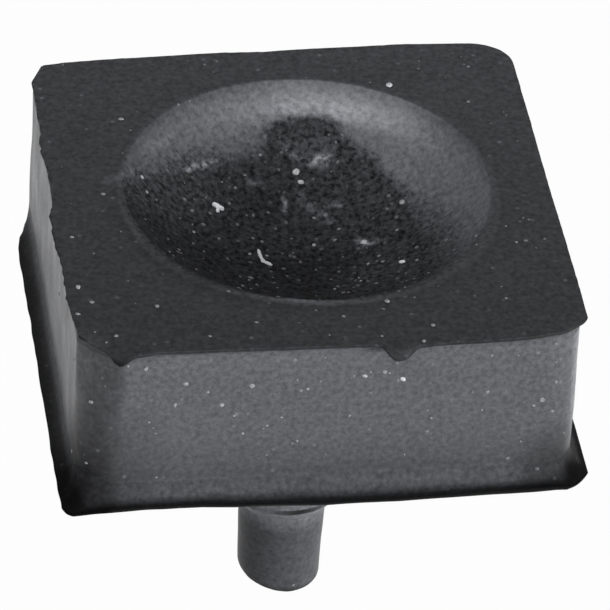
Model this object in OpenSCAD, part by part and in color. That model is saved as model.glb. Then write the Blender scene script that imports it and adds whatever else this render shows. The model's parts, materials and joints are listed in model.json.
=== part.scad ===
// Rubber buffer for a stand: a square moulded block with a round dish in its top,
// a thin lip round its base and a stepped stem that is pressed into a hole.
// Millimetres. The origin is the middle of the base, where the stem starts;
// +Z points up through the dish and the stem hangs below the base.

/* [Block] */
// Width and depth of the block, wall to wall
block_w = 29.2; // [27:0.1:36]
// Height of the block, base to top face
block_h = 11.1; // [9:0.1:18]
// Radius of the four upright corners
corner_r = 2.2; // [1:0.1:3]

/* [Moulding flash round the top edge] */
// How far the flash stands out past the walls
flash_over = 0.4; // [0.1:0.05:0.7]
// Thickness of the flash at its edge
flash_t = 0.3; // [0.2:0.05:0.5]
// Height of the slope that joins the flash to the wall
flash_slope_h = 0.5; // [0.2:0.05:1]

/* [Torn tabs of flash on the front edge] */
// Width of a tab at its tip
tab_tip_w = 1; // [0.6:0.1:1.6]
// Left tab: distance from the middle of the edge
left_tab_x = -12.6; // [-13:0.1:-8]
// Left tab: width where it leaves the edge
left_tab_root_w = 2.4; // [1.8:0.1:3.6]
// Left tab: length
left_tab_l = 1; // [0.6:0.1:1.6]
// Right tab: distance from the middle of the edge
right_tab_x = 3.6; // [0:0.1:8]
// Right tab: width where it leaves the edge
right_tab_root_w = 2; // [1.8:0.1:3.6]
// Right tab: length
right_tab_l = 1.2; // [0.6:0.1:1.6]

/* [Base lip] */
// How far the lip stands out past the walls
lip_over = 1.18; // [0.8:0.01:2]
// Thickness of the lip
lip_t = 0.35; // [0.2:0.05:1]
// Radius of the lip's corners
lip_corner_r = 0.8; // [0.3:0.1:1.5]
// Radius of the hollow fillet between the walls and the lip
fillet_r = 1; // [0.4:0.05:1.2]

/* [Dish] */
// Diameter of the dish at its rim
dish_d = 22.3; // [16:0.1:24]
// Depth of the dish at its middle
dish_depth = 5.2; // [3:0.1:6]
// Distance of the dish from the middle, to the right
dish_x = 0.5; // [-0.6:0.1:0.6]
// Distance of the dish from the middle, to the back
dish_y = 0.7; // [-0.8:0.1:0.8]

/* [Stem] */
// Diameter of the shank that is pressed into the hole
shank_d = 7.6; // [6.5:0.1:10]
// Length of the shank below the base
shank_l = 10.9; // [6:0.1:16]
// Length of the cone between the shank and the tail
cone_l = 1.3; // [0.8:0.1:4]
// Diameter of the tail under the cone
tail_d = 5.28; // [4:0.02:6]
// Diameter of the tail at its end
tail_end_d = 5.12; // [3.6:0.02:6]
// Length of the tail on the stem's axis
tail_l = 5; // [3:0.1:12]
// Slant of the trimmed end, rising to the left
trim_left = 9.8; // [0:0.1:20]
// Slant of the trimmed end, rising to the back
trim_back = 9.9; // [0:0.1:20]

/* [Hidden] */
$fn = 96;

// Distance from the middle of the block to the centre of an upright corner
corner_at = block_w / 2 - corner_r;
// Half width of the top face, over the flash
top_half = block_w / 2 + flash_over;
// Radius of the ball that leaves the dish
dish_r = (pow(dish_d / 2, 2) + pow(dish_depth, 2)) / (2 * dish_depth);
// Height of the stem's whole length, and the extra that the trim takes away
stem_l = shank_l + cone_l + tail_l;
trim_spare = 2;
// A short bite into the neighbouring shape, so that the shapes join
bite = 0.5;

// A square with round corners, centred
module round_square(w, r) {
    inner = w - 2 * r;
    square([w, inner], center = true);
    square([inner, w], center = true);
    for (x = [-inner / 2, inner / 2], y = [-inner / 2, inner / 2])
        translate([x, y]) circle(r = r);
}

// Carries a flat section round the block. In the section, x runs outwards from
// the centre of an upright corner and y is the height.
module round_the_block() {
    for (turn = [0 : 90 : 270]) rotate([0, 0, turn]) {
        translate([corner_at, corner_at, 0]) rotate([90, 0, 0])
            linear_extrude(2 * corner_at) children();
        translate([corner_at, corner_at, 0]) rotate_extrude(angle = 90) children();
    }
}

// Section of the wall, from the base to the underside of the flash's slope
module wall_section() {
    square([corner_r, block_h]);
}

// Section of the hollow fillet that runs from the wall into the lip
module fillet_section() {
    difference() {
        translate([corner_r - bite, 0]) square([bite + fillet_r, lip_t + fillet_r]);
        translate([corner_r + fillet_r, lip_t + fillet_r]) circle(r = fillet_r);
    }
}

// Section of the flash: flat on top, with a slope below it
module flash_section() {
    polygon([
        [corner_r - bite, block_h - flash_t - flash_slope_h],
        [corner_r, block_h - flash_t - flash_slope_h],
        [corner_r + flash_over, block_h - flash_t],
        [corner_r + flash_over, block_h],
        [corner_r - bite, block_h]
    ]);
}

// A torn tab of flash that stands out from the front edge
module flash_tab(x, root_w, l) {
    straight_l = l - tab_tip_w / 2;
    translate([x, -top_half, block_h - flash_t]) linear_extrude(flash_t) {
        polygon([
            [-root_w / 2, bite], [-root_w / 2, 0],
            [-tab_tip_w / 2, -straight_l], [tab_tip_w / 2, -straight_l],
            [root_w / 2, 0], [root_w / 2, bite]
        ]);
        translate([0, -straight_l]) circle(d = tab_tip_w);
    }
}

module block() {
    linear_extrude(block_h) square(2 * corner_at, center = true);
    round_the_block() wall_section();
    round_the_block() fillet_section();
    round_the_block() flash_section();
    linear_extrude(lip_t) round_square(block_w + 2 * lip_over, lip_corner_r);
    flash_tab(left_tab_x, left_tab_root_w, left_tab_l);
    flash_tab(right_tab_x, right_tab_root_w, right_tab_l);
}

module dish() {
    translate([dish_x, dish_y, block_h + dish_r - dish_depth]) sphere(r = dish_r);
}

// Half section of the stem, turned about its axis
module stem_section() {
    polygon([
        [0, bite], [shank_d / 2, bite],
        [shank_d / 2, -shank_l],
        [tail_d / 2, -shank_l - cone_l],
        [tail_end_d / 2, -stem_l - trim_spare],
        [0, -stem_l - trim_spare]
    ]);
}

module stem() {
    difference() {
        rotate_extrude() stem_section();
        translate([0, 0, -stem_l]) rotate([trim_back, trim_left, 0])
            translate([0, 0, -2 * trim_spare])
                cube([2 * shank_d, 2 * shank_d, 4 * trim_spare], center = true);
    }
}

module rubber_buffer() {
    color([0.17, 0.17, 0.18]) {
        difference() {
            block();
            dish();
        }
        stem();
    }
}

rubber_buffer();
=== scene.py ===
# %% [markdown]
# # A rubber buffer for a stand
# The real buffer is one piece of black rubber, cast in a mould: a square block with a round dish
# in its top, a thin lip round its base, and a stem that is pressed into a hole in a bracket.
# The frame holds its exact solid. This script gives it the skin of a real casting: torn flash,
# edges that wander a little, a dusty dish, and rubber that is dull in one place and smooth in
# another. Everything is in metres, in the frame's own axes: z is up, and the front faces minus y.

import json
import math
import random

import bmesh
import bpy
import numpy as np
from mathutils import Matrix, Vector, noise
from mathutils.bvhtree import BVHTree


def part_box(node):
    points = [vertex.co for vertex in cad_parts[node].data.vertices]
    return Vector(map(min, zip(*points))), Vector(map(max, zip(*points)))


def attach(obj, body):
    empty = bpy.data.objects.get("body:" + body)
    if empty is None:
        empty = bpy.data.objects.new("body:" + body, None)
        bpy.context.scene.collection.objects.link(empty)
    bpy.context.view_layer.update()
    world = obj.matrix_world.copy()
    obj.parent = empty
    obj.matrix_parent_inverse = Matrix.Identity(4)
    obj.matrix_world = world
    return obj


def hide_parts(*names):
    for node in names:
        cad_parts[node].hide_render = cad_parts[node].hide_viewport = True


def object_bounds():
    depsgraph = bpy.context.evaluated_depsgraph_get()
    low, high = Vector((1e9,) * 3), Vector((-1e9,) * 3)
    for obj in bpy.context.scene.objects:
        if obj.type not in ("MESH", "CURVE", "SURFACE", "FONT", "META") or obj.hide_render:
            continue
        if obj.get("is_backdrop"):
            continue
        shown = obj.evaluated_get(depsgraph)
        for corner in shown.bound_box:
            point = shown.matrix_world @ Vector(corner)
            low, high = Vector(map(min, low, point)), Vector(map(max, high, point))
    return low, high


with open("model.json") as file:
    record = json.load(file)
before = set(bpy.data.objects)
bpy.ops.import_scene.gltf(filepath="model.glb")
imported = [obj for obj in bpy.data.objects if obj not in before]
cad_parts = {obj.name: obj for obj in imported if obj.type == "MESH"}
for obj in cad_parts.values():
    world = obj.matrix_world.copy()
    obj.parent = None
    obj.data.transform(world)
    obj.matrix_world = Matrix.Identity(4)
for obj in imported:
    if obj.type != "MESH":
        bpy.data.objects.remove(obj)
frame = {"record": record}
cad_low, cad_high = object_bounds()
MM = 0.001


def in_mm(corner):
    """A corner of a box in millimetres, to print."""
    return [round(v / MM, 2) for v in corner]


print("CAD box in mm:", in_mm(cad_low), in_mm(cad_high))

# %% [markdown]
# ## The camera
# A long lens far away keeps the block's upright edges almost parallel. The camera could be placed
# by hand, but an aim point, an azimuth, an elevation and a distance say the same in four values
# that can be changed one at a time. A small roll at the end tilts it, as a hand would. Setting it
# up first means that every later step can be judged in it.

# %% Camera
IMAGE_SIDE = 610
SENSOR_WIDTH = 36
AIM = Vector((-0.05, -4.02, 5.74)) * MM
AZIMUTH = -10.225
ELEVATION = 37.066
ROLL = 3.704
DISTANCE = 337.7 * MM
FOCAL_PIXELS = 5647.2


def towards(azimuth, elevation):
    """Unit vector from the object to a place seen at this azimuth and elevation."""
    a, e = math.radians(azimuth), math.radians(elevation)
    return Vector((math.sin(a) * math.cos(e), -math.cos(a) * math.cos(e), math.sin(e)))


def facing_block(direction):
    """Turns a camera or a lamp that stands in this direction to look at the block."""
    return direction.to_track_quat("Z", "Y").to_matrix().to_4x4()


camera_data = bpy.data.cameras.new("camera")
camera_data.sensor_width = SENSOR_WIDTH
camera_data.lens = FOCAL_PIXELS / IMAGE_SIDE * SENSOR_WIDTH
camera = bpy.data.objects.new("camera", camera_data)
bpy.context.scene.collection.objects.link(camera)
back = towards(AZIMUTH, ELEVATION)
roll = Matrix.Rotation(math.radians(ROLL), 4, "Z")
camera.matrix_world = Matrix.Translation(AIM + back * DISTANCE) @ facing_block(back) @ roll
bpy.context.scene.camera = camera
print("lens", round(camera_data.lens, 1), "mm")

# %% [markdown]
# ## Sizes of the casting
# The height of the top and the size of the stem come from the frame, so the skin can't drift from
# the solid. What is left are the small sizes of the mould: the dish, which is a slice of a ball,
# the fillet over the lip, and the stem's cone, its tail and the slant of its trimmed end.

# %% Sizes
TOP_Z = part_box("rubber_buffer")[1].z
stem_mount = next(m for m in frame["record"]["mounts"] if m["name"] == "stem")
SHANK_R = stem_mount["dims"]["r_mm"] * MM
SHANK_L = stem_mount["dims"]["length_mm"] * MM

DISH_R = 11.15 * MM
DISH_DEPTH = 5.2 * MM
DISH_X, DISH_Y = 0.5 * MM, 0.7 * MM
BALL_R = (DISH_R**2 + DISH_DEPTH**2) / (2 * DISH_DEPTH)
FILLET_R = 1.05 * MM
LIP_T = 0.35 * MM
CONE_L = 1.3 * MM
TAIL_L = 5.22 * MM
TAIL_R = 2.70 * MM
TAIL_END_R = 2.58 * MM
STEM_L = SHANK_L + CONE_L + TAIL_L
TRIM_X = -math.tan(math.radians(6.6))
TRIM_Y = math.tan(math.radians(9.9))
print("stem length", round(STEM_L / MM, 1), "mm, top at", round(TOP_Z / MM, 1), "mm")

# %% [markdown]
# ## Outlines
# Every level of the block is a square with round corners. It could be cut from a cube with
# bevels, but the levels differ a little from each other. If each outline has the same number of
# points on a side and on a corner, any two of them can be joined by plain four-sided faces, and
# the whole skin becomes one clean tube of rings with no holes to fill. A corner can also be cut
# straight, because a blade has trimmed some corners of this casting.

# %% Outlines
SIDE_STEPS = 96
CORNER_STEPS = 14
RING = 4 * (SIDE_STEPS + CORNER_STEPS)
TURNS = (-90, 0, 90, 180)


def unit(angle):
    """Vector of length one at an angle in degrees, seen from above."""
    return Vector((math.cos(math.radians(angle)), math.sin(math.radians(angle))))


def outline(left, front, right, rear, radii, cuts=(0, 0, 0, 0)):
    """Points round a rectangle given in mm, anticlockwise from the front edge's left end.

    radii and cuts are for the front right, back right, back left and front left corners. A cut
    of 1 makes its corner straight, and 0 leaves it round.
    """
    corners = [(right, front), (right, rear), (left, rear), (left, front)]
    inward = [(-1, 1), (-1, -1), (1, -1), (1, 1)]
    centres = [
        Vector((x + dx * r, y + dy * r)) for (x, y), (dx, dy), r in zip(corners, inward, radii)
    ]
    points = []
    for k, turn in enumerate(TURNS):
        start = centres[k - 1] + unit(turn) * radii[k - 1]
        end = centres[k] + unit(turn) * radii[k]
        corner_end = centres[k] + unit(turn + 90) * radii[k]
        for step in range(SIDE_STEPS):
            points.append(start.lerp(end, step / SIDE_STEPS)[:])
        for step in range(CORNER_STEPS):
            arc = centres[k] + unit(turn + 90 * step / CORNER_STEPS) * radii[k]
            chord = end.lerp(corner_end, step / CORNER_STEPS)
            points.append(arc.lerp(chord, cuts[k])[:])
    return np.array(points) * MM


wall = outline(-14.8, -14.7, 14.86, 14.6, [2.0, 2.2, 1.7, 2.0])
wall_head = outline(-14.8, -14.7, 14.8, 14.6, [2.1, 2.3, 1.7, 2.4], [0.2, 0.0, 0.6, 0.7])
flash = outline(-15.0, -15.0, 15.06, 15.03, [1.65, 2.4, 0.4, 2.0], [0.7, 0.0, 0.3, 0.9])
lip = outline(-15.78, -15.78, 15.78, 15.78, [1.35, 1.0, 4.6, 0.5], [0.7, 0.0, 0.4, 0.3])
print(RING, "points in a ring")

# %% [markdown]
# ## Which way each point faces
# Wear and tearing act on one side of the block more than on another. The points of all outlines
# lie in the same order, so one list of directions serves them all, and a test such as "faces the
# front" picks out a side without any search.

# %% Directions round an outline
def facing():
    """Which way each point of an outline faces, as (x, y) of length one."""
    angles = []
    for turn in TURNS:
        angles += [turn] * SIDE_STEPS
        angles += [turn + 90 * step / CORNER_STEPS for step in range(CORNER_STEPS)]
    angles = np.radians(angles)
    return np.column_stack([np.cos(angles), np.sin(angles)])


way = facing()
faces_front = way[:, 1] < 0
faces_left = way[:, 0] < 0
print(int(faces_front.sum()), "points face the front,", int(faces_left.sum()), "face the left")

# %% [markdown]
# ## Where the flash tore
# Flash is the thin film of rubber that creeps between the halves of a mould. It is trimmed by
# hand, so the left edge is ragged and two tabs are left on the front edge. Noise alone would tear
# it evenly all round, so a handful of points along each edge says how far the film stands out
# there: the place along the edge, then the distance, both in millimetres. The lip of the base
# bows in and out in the same way, and a knife took the back left corner off.

# %% Tears, bows and knife cuts
LEFT_TEAR = [
    (-13.6, -0.24), (-12.6, -0.20), (-11.7, -0.10), (-10.5, 0.02), (-9.2, 0.10), (-7.6, 0.06),
    (-5.7, 0.04), (-4.9, 0.16), (-3.2, 0.25), (-1.9, 0.20), (-1.2, 0.22), (-0.7, 0.09),
    (0.1, -0.08), (1.3, -0.14), (2.3, -0.16), (3.6, -0.11), (4.4, -0.04), (4.9, 0.0),
    (5.4, 0.12), (5.8, -0.04), (6.4, 0.09), (7.0, -0.04), (7.8, -0.12), (8.8, -0.10),
    (12.2, -0.12), (14.0, -0.12),
]
FRONT_TEAR = [
    (-13.45, -0.12), (-13.2, 0.10), (-12.95, 0.46), (-12.65, 0.76), (-12.3, 0.57), (-12.0, 0.28),
    (-11.7, 0.16), (-11.1, 0.01), (-10.4, -0.12), (-8.0, -0.09), (-5.0, -0.07), (-2.2, 0.0),
    (2.2, 0.13), (2.7, 0.23), (2.85, 0.41), (3.0, 0.89), (3.25, 1.10), (3.6, 1.19),
    (3.95, 1.07), (4.25, 0.81), (4.55, 0.49), (4.8, 0.31), (6.0, 0.20), (8.6, 0.17),
    (10.7, 0.08), (11.9, -0.07), (12.85, -0.27), (13.5, -0.40),
]
BACK_TEAR = [
    (-14.2, -0.72), (-13.4, -0.62), (-12.9, -0.52), (-10.4, -0.33), (-8.0, -0.24), (-5.4, -0.17),
    (-3.0, -0.06), (-0.5, -0.08), (2.0, 0.03), (8.0, 0.14), (12.0, 0.02), (14.0, -0.1),
]
HEAD_REAR = [(-12.9, -0.46), (-10.4, -0.3), (-6.0, 0.0)]
LIP_FRONT_BOW = [
    (-15.5, 0.28), (-14.0, 0.12), (-11.0, -0.05), (-7.6, -0.10), (-5.6, 0.10), (0.0, 0.29),
    (4.2, 0.27), (10.2, 0.0), (12.4, -0.03), (13.8, -0.12), (14.6, -0.06), (15.2, 0.08),
]
LIP_LEFT_BOW = [(10.2, 0.0), (11.0, -0.12), (11.6, -0.24), (12.2, -0.16), (13.0, 0.0)]
KNIFE_CUT = [(-14.85, 12.78), (-14.11, 14.29)]
HEAD_CUT = [(-14.76, 12.74), (-14.02, 14.25)]
print(len(LEFT_TEAR) + len(FRONT_TEAR) + len(BACK_TEAR), "places along the torn edges")

# %% [markdown]
# ## Tearing the outlines
# Three small tools do to an outline what happened to the rubber: one pulls it out along its edges
# by the tables above, one frays it with fine noise, and one cuts a corner along a straight line.
# The wall just under the flash gets the same knife cut, so that nothing pokes out below it.

# %% Tear the flash and bow the lip
FRAYED_LEFT, FRAYED_ELSEWHERE = 1.0, 0.25


def read_off(table, at, period=None):
    """The value of a table at a place, on straight lines between its points."""
    return np.interp(at, *zip(*table), period=period)


def stand_out(ring, left=((0, 0),), front=((0, 0),), rear=((0, 0),)):
    """How far each point of a ring moves outwards, by the tables of its edges."""
    x, y = ring[:, 0] / MM, ring[:, 1] / MM
    out = np.zeros_like(ring)
    out[:, 0] = -1.0 * faces_left * way[:, 0] ** 2 * read_off(left, y) * MM
    out[:, 1] = way[:, 1] ** 2 * np.where(faces_front, -read_off(front, x), read_off(rear, x)) * MM
    return out


def fray(ring, seed, size, amount):
    """Small irregular steps along a ring, at most about amount metres and largest on the left."""
    steps = [noise.noise(Vector((x / size, y / size, seed))) for x, y in ring]
    strength = np.where(way[:, 0] < -0.7, FRAYED_LEFT, FRAYED_ELSEWHERE)
    return way * (np.array(steps) * strength)[:, None] * amount


def cut_corner(ring, start, end):
    """Moves what is beyond the line from start to end, on its left, back onto the line."""
    start, end = np.array(start) * MM, np.array(end) * MM
    along = (end - start) / np.linalg.norm(end - start)
    outward = np.array([-along[1], along[0]])
    beyond = np.clip((ring - start) @ outward, 0, None)
    return ring - beyond[:, None] * outward


wall_head = cut_corner(wall_head + stand_out(wall_head, rear=HEAD_REAR), *HEAD_CUT)
tear = stand_out(flash, LEFT_TEAR, FRONT_TEAR, BACK_TEAR)
torn = flash + tear + fray(flash, seed=4, size=0.5 * MM, amount=0.11 * MM)
torn = cut_corner(torn, *KNIFE_CUT)
lip_bow = stand_out(lip, LIP_LEFT_BOW, LIP_FRONT_BOW)
lip = lip + lip_bow + fray(lip, seed=9, size=1.5 * MM, amount=0.06 * MM)
print("widest tear", round(float(np.abs(tear).max()) / MM, 2), "mm")

# %% [markdown]
# ## How the tabs hang, and how pale the torn edge is
# A tab of thin rubber sags under its own weight, the more the further it stands out. The torn
# edge isn't one shade either: the right tab is painted pale, a painted highlight where it sags to
# face the light, the left one is painted dark, a painted shadow, and the front edge is palest
# near its left end, where it rolls round into the wall. Each point of the edge gets a factor, so
# that the rings of the flash can use one shade and be varied by it.

# %% Sag and tone of the torn edge
TAB_DROOP = 0.30
TAB_FROM = 0.15 * MM
TAB_FULL = 0.12 * MM
# painted shadow on the left tab, painted highlight on the right tab
LEFT_TAB_PAINTED_SHADE, RIGHT_TAB_PAINTED_HIGHLIGHT = 0.6, 1.7
FRONT_EDGE_TONE = [(-14.5, 3.2), (-13.2, 2.4), (-12.8, 1.5)]


def mix(a, b, t):
    """The value or ring that lies the share t of the way from a to b."""
    return a + (b - a) * t


droop = TAB_DROOP * np.clip(-tear[:, 1] * faces_front - TAB_FROM, 0, None)
# the painted shadow and highlight of the tabs go into the torn edge's tone
tab_painted_light = np.where(flash[:, 0] < 0, LEFT_TAB_PAINTED_SHADE, RIGHT_TAB_PAINTED_HIGHLIGHT)
plain_tone = np.where(way[:, 1] < -0.3, read_off(FRONT_EDGE_TONE, flash[:, 0] / MM), 1.0)
edge_tone_and_light = mix(plain_tone, tab_painted_light, np.clip(droop / TAB_FULL, 0, 1))
print("the tabs sag by up to", round(float(droop.max()) / MM, 2), "mm")

# %% [markdown]
# ## The skin, ring by ring: the dish
# The rings start in the middle of the dish, climb to its rim, cross the top face, turn over the
# flash, run down the walls, out over the lip, across the underside and down the stem to its
# trimmed end. Each ring also carries a shade, which is how pale the rubber is there, and a
# roughness. Rubber looks pale where a dry bloom has come out of it, and nearly black where it
# was cut or torn. The shade also holds painted light and painted shade: places that face the
# lamps are painted paler, and places that the light doesn't reach are painted darker. The dish
# comes first: its rings follow a ball, and its rim, which is crisp on the far side and worn round
# on the near side, follows a small arc that meets the ball smoothly.

# %% Rings of the dish and its rim
DISH_RINGS = 42
RIM_RINGS = 8
RIM_CRISP, RIM_WORN = 0.14, 1.3
DISH_SHADE, TOP_SHADE = 0.13, 0.063
ROUGHNESS = {
    "dish": 0.28, "rim": 0.5, "top": 0.6, "flash": 0.6, "wall": 0.42, "fillet": 0.55,
    "lip": 0.6, "under": 0.55, "shank": 0.5, "groove": 0.7, "cone": 0.4, "tail": 0.42, "cut": 0.7,
}
rings, shades, roughs, zones = [], [], [], []


def add_ring(xy, z, zone, shade, finish):
    """Keeps one ring: its plan, its height, its zone, how pale it is and how rough its finish."""
    rings.append(np.column_stack([xy, np.broadcast_to(z, (RING,))]))
    zones.append(zone)
    shades.append(np.broadcast_to(shade, (RING,)))
    roughs.append(ROUGHNESS[finish])


dish_centre = np.array([DISH_X, DISH_Y])
spoke = torn - dish_centre
spoke = spoke / np.linalg.norm(spoke, axis=1, keepdims=True)
nearness = np.clip(0.45 - 1.1 * spoke[:, 1], 0, 1)
rim_round = mix(RIM_CRISP, RIM_WORN, nearness**1.5) * MM
rim_reach = np.sqrt((BALL_R + rim_round) ** 2 - (BALL_R - DISH_DEPTH + rim_round) ** 2)
rim_slope = np.arcsin(rim_reach / (BALL_R + rim_round))
for i in range(1, DISH_RINGS + 1):
    slope = rim_slope * i / DISH_RINGS
    plan = dish_centre + spoke * (BALL_R * np.sin(slope))[:, None]
    add_ring(plan, TOP_Z - DISH_DEPTH + BALL_R * (1 - np.cos(slope)), "dish", DISH_SHADE, "dish")
for i in range(1, RIM_RINGS + 1):
    slope = rim_slope * (1 - i / RIM_RINGS)
    plan = dish_centre + spoke * (rim_reach - rim_round * np.sin(slope))[:, None]
    shade = mix(DISH_SHADE, TOP_SHADE, i / RIM_RINGS)
    add_ring(plan, TOP_Z - rim_round * (1 - np.cos(slope)), "rim", shade, "rim")
print("the dish's rim is", round(float(rim_reach.min()) / MM, 2), "mm or more from its middle")

# %% [markdown]
# ## The top face and the flash
# The top face is flat, so its rings only have to lead from the round rim to the square edge. The
# flash that ends it is a film less than a fifth of a millimetre thick. Each line of its section
# says how far out the ring lies between the wall and the torn edge, how far below the top, and
# how pale it is. Its rim is nearly black where it tore, and the rubber under it is pale.

# %% Rings of the top face and the flash
TOP_RINGS = 19
TOP_EDGE = 0.75
FLASH_SECTION = [
    (0.88, 0.000, 0.036), (0.965, 0.015, 0.028), (1.0, 0.06, 0.020), (1.0, 0.12, 0.020),
    (0.97, 0.17, 0.03), (0.82, 0.22, 0.06), (0.55, 0.30, 0.10), (0.28, 0.40, 0.125),
    (0.10, 0.50, 0.130), (0.02, 0.62, 0.126), (0.0, 0.80, 0.120),
]
FLASH_PALEST = 0.09

rim = rings[-1][:, :2]
top_edge = mix(wall_head, torn, TOP_EDGE)
for i in range(1, TOP_RINGS + 1):
    tone = np.minimum(edge_tone_and_light, 1.0) if i == TOP_RINGS else 1.0
    add_ring(mix(rim, top_edge, i / TOP_RINGS), TOP_Z, "top", TOP_SHADE * tone, "top")
for share, down, shade in FLASH_SECTION:
    tone = edge_tone_and_light if share > 0.5 else 1.0
    shade = np.minimum(shade * tone, max(shade, FLASH_PALEST))
    plan = mix(wall_head, torn, share)
    add_ring(plan, TOP_Z - down * MM - share * droop, "flash", shade, "flash")
print(len(rings), "rings down to the flash")

# %% [markdown]
# ## The walls, and the fillet over the lip
# The walls hardly lean, so a straight line from head to foot is enough. At the foot a fillet, the
# hollow curve that helps rubber to flow in a mould, sweeps out into the lip. It is wider at the
# corners, most of all at the back left. The lip, which the wall keeps out of the light, is
# painted nearly black, a painted shade, and the painted shade begins at another height on each
# side.

# %% Rings of the walls and the fillet
WALL_RINGS = 24
HEAD_RINGS = 14
WALL_TOP = TOP_Z - 1.0 * MM
# the lip's tone is a painted shade, where the wall keeps the light off it
WALL_SHADE, LIP_PAINTED_SHADE = 0.098, 0.016
WIDER_FRONT_LEFT, WIDER_FRONT_RIGHT, WIDER_BACK_LEFT, WIDER_BACK_RIGHT = 0.75, 0.1, 1.1, 0.75
FILLET_RINGS = 12
FILLET_SPREAD = 0.9
# where along the fillet the lip's painted shade begins, by which way a point faces
PAINTED_SHADE_FROM = [(-1.0, 0.18), (-0.7, 0.25), (0.0, 0.57), (0.4, 0.5), (0.8, 0.10)]
PAINTED_SHADE_SOFT = 0.35

at_corner = np.clip(2 * np.abs(way[:, 0] * way[:, 1]), 0, 1)
wider = np.where(
    faces_front,
    np.where(faces_left, WIDER_FRONT_LEFT, WIDER_FRONT_RIGHT),
    np.where(faces_left, WIDER_BACK_LEFT, WIDER_BACK_RIGHT),
)
fillet = FILLET_R * (1 + at_corner * wider)
for i in range(WALL_RINGS):
    plan = mix(wall_head, wall, min(i / HEAD_RINGS, 1.0))
    add_ring(plan, mix(WALL_TOP, LIP_T + fillet, i / WALL_RINGS), "wall", WALL_SHADE, "wall")
painted_shade_from = read_off(PAINTED_SHADE_FROM, way[:, 0])
for i in range(FILLET_RINGS + 1):
    angle = math.radians(90 * i / FILLET_RINGS)
    plan = mix(wall, lip, FILLET_SPREAD * (1 - math.cos(angle)))
    black = np.clip((i / FILLET_RINGS - painted_shade_from) / PAINTED_SHADE_SOFT, 0, 1)
    shade = mix(WALL_SHADE, LIP_PAINTED_SHADE, black)
    add_ring(plan, LIP_T + fillet * (1 - math.sin(angle)), "lip", shade, "fillet")
print("the fillet is up to", round(float(fillet.max()) / MM, 2), "mm high")

# %% [markdown]
# ## The lip's edge and the underside
# The lip was squeezed out round the foot of the mould, so its edge is thin and round, and that
# edge is painted almost black, a painted shade where it turns down. Its section is a short table
# again: how far out, and how high. The underside is flat, and its rings shrink from the square
# lip to a circle round the stem, where a small round joins the two.

# %% Rings of the lip's edge, the underside and the stem's root
LIP_SECTION = [
    (0.96, 0.34), (0.99, 0.31), (1.0, 0.25), (0.99, 0.19), (0.95, 0.10), (0.91, 0.02), (0.88, 0.0),
]
# the lip's round edge is painted almost black, a painted shade
LIP_EDGE_PAINTED_SHADE, UNDER_SHADE, STEM_SHADE = 0.004, 0.06, 0.080
UNDER_RINGS = 12
ROOT_RINGS = 4
ROOT_ROUND = 0.25 * MM

for share, height in LIP_SECTION:
    add_ring(mix(wall, lip, share), height * MM, "lip", LIP_EDGE_PAINTED_SHADE, "lip")
lip_foot = mix(wall, lip, LIP_SECTION[-1][0])
lip_spoke = lip / np.linalg.norm(lip, axis=1, keepdims=True)
root = lip_spoke * (SHANK_R + ROOT_ROUND)
for i in range(1, UNDER_RINGS + 1):
    add_ring(mix(lip_foot, root, i / UNDER_RINGS), 0.0, "under", UNDER_SHADE, "under")
for i in range(1, ROOT_RINGS + 1):
    angle = math.radians(90 * i / ROOT_RINGS)
    plan = lip_spoke * (SHANK_R + ROOT_ROUND * (1 - math.sin(angle)))
    add_ring(plan, -ROOT_ROUND * (1 - math.cos(angle)), "stem", STEM_SHADE, "shank")
print("the lip is", round(LIP_T / MM, 2), "mm thick,", len(rings), "rings so far")

# %% [markdown]
# ## The stem
# The stem has three parts: a straight shank that fits the hole, a short cone, and a thinner tail
# to pull it in by. A shallow groove marks the shank's end at the front. It is painted dark, a
# painted shadow in its crease, and the shank just above it is painted pale, a painted light on
# rubber that lies in the lip's shadow. The groove could be cut out of a finished stem, but four
# rings that dip a little on one side do the same, and leave the mesh clean.

# %% Rings of the shank and its groove
SHANK_RINGS = 12
GROOVE_SECTION = [(0.02, -0.08), (0.08, 0.0), (0.08, 0.08), (0.01, 0.18)]
GROOVE_Z = -SHANK_L + 0.42 * MM
GROOVE_AT, GROOVE_SPREAD = -82, 28
# painted light on the shank by the groove and on the cone, painted shade in the groove
STEM_PAINTED_LIGHT, GROOVE_PAINTED_SHADE = 0.19, 0.028

for i in range(1, SHANK_RINGS + 1):
    shade = mix(STEM_SHADE, STEM_PAINTED_LIGHT, max(i / SHANK_RINGS * 5 - 4, 0.0))
    height = mix(-ROOT_ROUND, GROOVE_Z + 0.14 * MM, i / SHANK_RINGS)
    add_ring(lip_spoke * SHANK_R, height, "stem", shade, "shank")
turn = np.degrees(np.arctan2(lip[:, 1], lip[:, 0]))
groove = np.exp(-(((turn - GROOVE_AT) / GROOVE_SPREAD) ** 2))
for inset, down in GROOVE_SECTION:
    plan = lip_spoke * (SHANK_R - inset * MM * groove)[:, None]
    shade = mix(STEM_PAINTED_LIGHT, GROOVE_PAINTED_SHADE, groove)
    add_ring(plan, GROOVE_Z - down * MM, "stem", shade, "groove")
print("the groove is at", round(GROOVE_Z / MM, 2), "mm")

# %% [markdown]
# ## The cone, the tail and the cut end
# The cone faces down towards the white paper and is painted pale, a painted reflection, and so is
# the top of the tail. The painted shade that is added later darkens the left side of the stem, so
# that side starts paler, and both sides get a little painted sheen. The tail was snipped off, so
# its end is a slanted, darker cut, and the edge just above the cut is painted darker still, a
# painted shade. A turned solid would have a square end, while rings can each be tilted a little
# more, until the last one lies on the cut.

# %% Rings of the cone, the tail and the cut end
CONE_RINGS, TAIL_RINGS, END_RINGS = 6, 16, 9
CONE_Z = GROOVE_Z - 0.24 * MM
TAIL_Z = GROOVE_Z - 0.4 * MM - CONE_L
END_BEVEL = 0.06 * MM
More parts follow.
